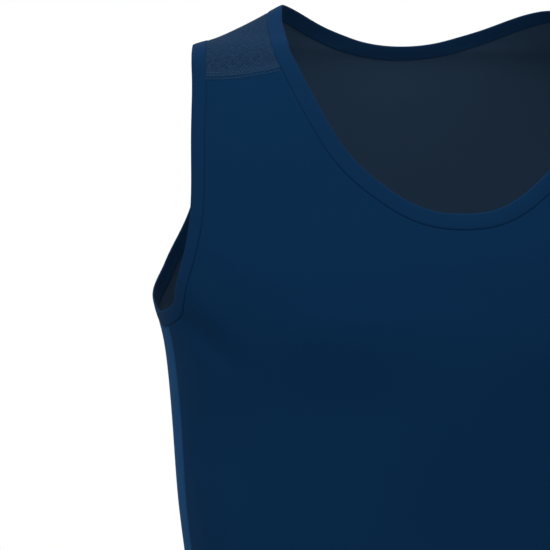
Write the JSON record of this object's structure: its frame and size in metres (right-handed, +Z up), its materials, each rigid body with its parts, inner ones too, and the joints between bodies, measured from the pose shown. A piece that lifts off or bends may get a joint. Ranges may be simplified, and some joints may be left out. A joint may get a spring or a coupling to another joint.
{
  "type": "running singlet",
  "caption": "Sleeveless running singlet with scooped neck, bound neck and armholes, mesh shoulder yokes and contrast side panels, filled out as worn with an open hollow body.",
  "frame": {"origin": "midway between the two neck points, where the wearer's shoulders hold the garment up", "axes": "+Z up towards the wearer's head, the front faces -Y, the wearer's right is -X; the hem is level at the bottom"},
  "size_m": [0.3738, 0.2345, 0.6999],
  "materials": {
    "main_jersey": "matte smooth knit, deep navy",
    "side_jersey": "matte smooth knit, lighter navy blue",
    "yoke_mesh": "open micro-mesh knit, greyed navy",
    "binding": "matte smooth knit binding, deep navy"
  },
  "bodies": {
    "root": {"front_panel": "main_jersey", "back_panel": "main_jersey", "side_panel_left": "side_jersey", "side_panel_right": "side_jersey", "shoulder_yoke_left": "yoke_mesh", "shoulder_yoke_right": "yoke_mesh", "neck_band": "binding", "armhole_band_left": "binding", "armhole_band_right": "binding"}
  },
  "joints": []
}
